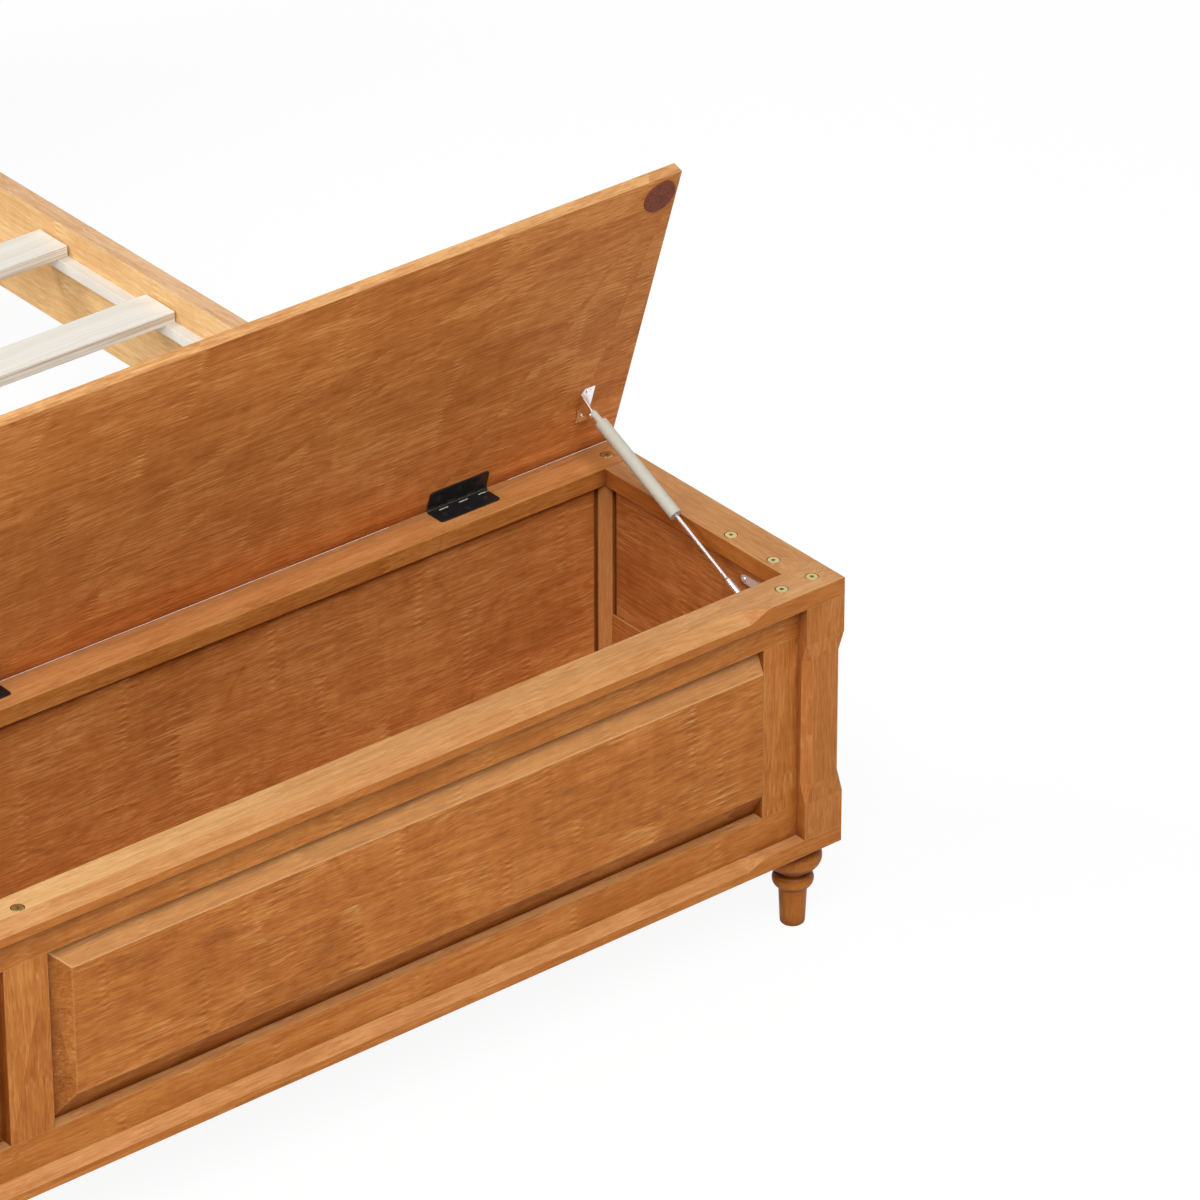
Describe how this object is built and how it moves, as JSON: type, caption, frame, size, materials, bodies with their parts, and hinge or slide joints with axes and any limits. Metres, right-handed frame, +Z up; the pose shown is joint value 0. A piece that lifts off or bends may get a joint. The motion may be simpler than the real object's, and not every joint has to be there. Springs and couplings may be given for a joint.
{
  "type": "bed with blanket chest footboard",
  "caption": "Panelled wooden bed on turned feet. Its footboard is a blanket chest with a lift-up lid on butt hinges and gas struts; slatted base between side rails, panelled headboard.",
  "frame": {"origin": "on the floor, in the middle of the bed's footprint", "axes": "+X across the bed, to the right seen from the foot; +Y from the chest at the foot to the headboard; +Z up"},
  "size_m": [2.045, 2.492, 1.18],
  "materials": {
    "stained_wood": "satin",
    "pine": "matte",
    "felt": "matte",
    "black_metal": "satin",
    "dark_steel": "satin",
    "chrome": "polished",
    "bright_steel": "polished",
    "grey_paint": "satin",
    "brass": "satin",
    "zinc_steel": "satin"
  },
  "bodies": {
    "bed": {"foot_front_left": "stained_wood", "foot_front_right": "stained_wood", "foot_back_left": "stained_wood", "foot_back_right": "stained_wood", "base_front": "stained_wood", "base_back": "stained_wood", "base_end_left": "stained_wood", "base_end_right": "stained_wood", "post_front_left": "stained_wood", "post_front_right": "stained_wood", "post_back_left": "stained_wood", "post_back_right": "stained_wood", "front_bottom_rail": "stained_wood", "front_top_rail": "stained_wood", "front_stiles": "stained_wood", "front_panel_left": "stained_wood", "front_panel_right": "stained_wood", "back_rails": "stained_wood", "back_stiles": "stained_wood", "back_panels": "stained_wood", "end_frame_left": "stained_wood", "end_frame_right": "stained_wood", "end_panel_left": "stained_wood", "end_panel_right": "stained_wood", "chest_floor": "stained_wood", "end_skirts": "stained_wood", "strut_pads": "stained_wood", "rim_front": "stained_wood", "rim_back": "stained_wood", "rim_end_left": "stained_wood", "rim_end_right": "stained_wood", "rim_bolts": "brass", "hinge_leaves_chest": "black_metal", "hinge_pins": "dark_steel", "hinge_screws_chest": "black_metal", "strut_brackets_chest": "chrome", "side_rail_left": "stained_wood", "side_rail_right": "stained_wood", "slat_ledgers": "pine", "slats": "pine", "middle_beam": "pine", "beam_legs": "pine", "rail_brackets": "zinc_steel", "rail_bolts": "zinc_steel", "headboard_posts": "stained_wood", "headboard_boards": "stained_wood", "headboard_rails": "stained_wood", "headboard_stiles": "stained_wood", "headboard_panels": "stained_wood", "headboard_lower_panels": "stained_wood", "headboard_feet": "stained_wood"},
    "lid": {"lid": "stained_wood", "felt_pads": "felt", "hinge_leaves_lid": "black_metal", "hinge_screws_lid": "black_metal", "strut_brackets_lid": "chrome"},
    "strut_rod_right": {"strut_rod_right": "bright_steel"},
    "strut_tube_right": {"strut_tube_right": "grey_paint"},
    "strut_rod_left": {"strut_rod_left": "bright_steel"},
    "strut_tube_left": {"strut_tube_left": "grey_paint"}
  },
  "joints": [
    {"name": "lid_hinge", "type": "hinge", "parent": "bed", "child": "lid", "pos_m": [0, -0.8705, 0.4225], "axis": [-1, 0, 0], "range_deg": [-72.6, 0]},
    {"name": "strut_right_turn", "type": "hinge", "parent": "bed", "child": "strut_rod_right", "pos_m": [0.9635, -1.1586, 0.3735], "axis": [1, 0, 0], "range_deg": [-17, 0]},
    {"name": "strut_right_slide", "type": "slide", "parent": "strut_rod_right", "child": "strut_tube_right", "axis": [0, 0.9054, 0.4245], "range_m": [-0.0598, 0]},
    {"name": "strut_left_turn", "type": "hinge", "parent": "bed", "child": "strut_rod_left", "pos_m": [-0.9635, -1.1586, 0.3735], "axis": [1, 0, 0], "range_deg": [-17, 0]},
    {"name": "strut_left_slide", "type": "slide", "parent": "strut_rod_left", "child": "strut_tube_left", "axis": [0, 0.9054, 0.4245], "range_m": [-0.0598, 0]}
  ],
  "couplings": [
    {"joint": "strut_right_turn", "follows": "lid_hinge", "ratio": 0.23221},
    {"joint": "strut_right_slide", "follows": "lid_hinge", "m_per_rad": 0.047093},
    {"joint": "strut_left_turn", "follows": "lid_hinge", "ratio": 0.23221},
    {"joint": "strut_left_slide", "follows": "lid_hinge", "m_per_rad": 0.047093}
  ]
}
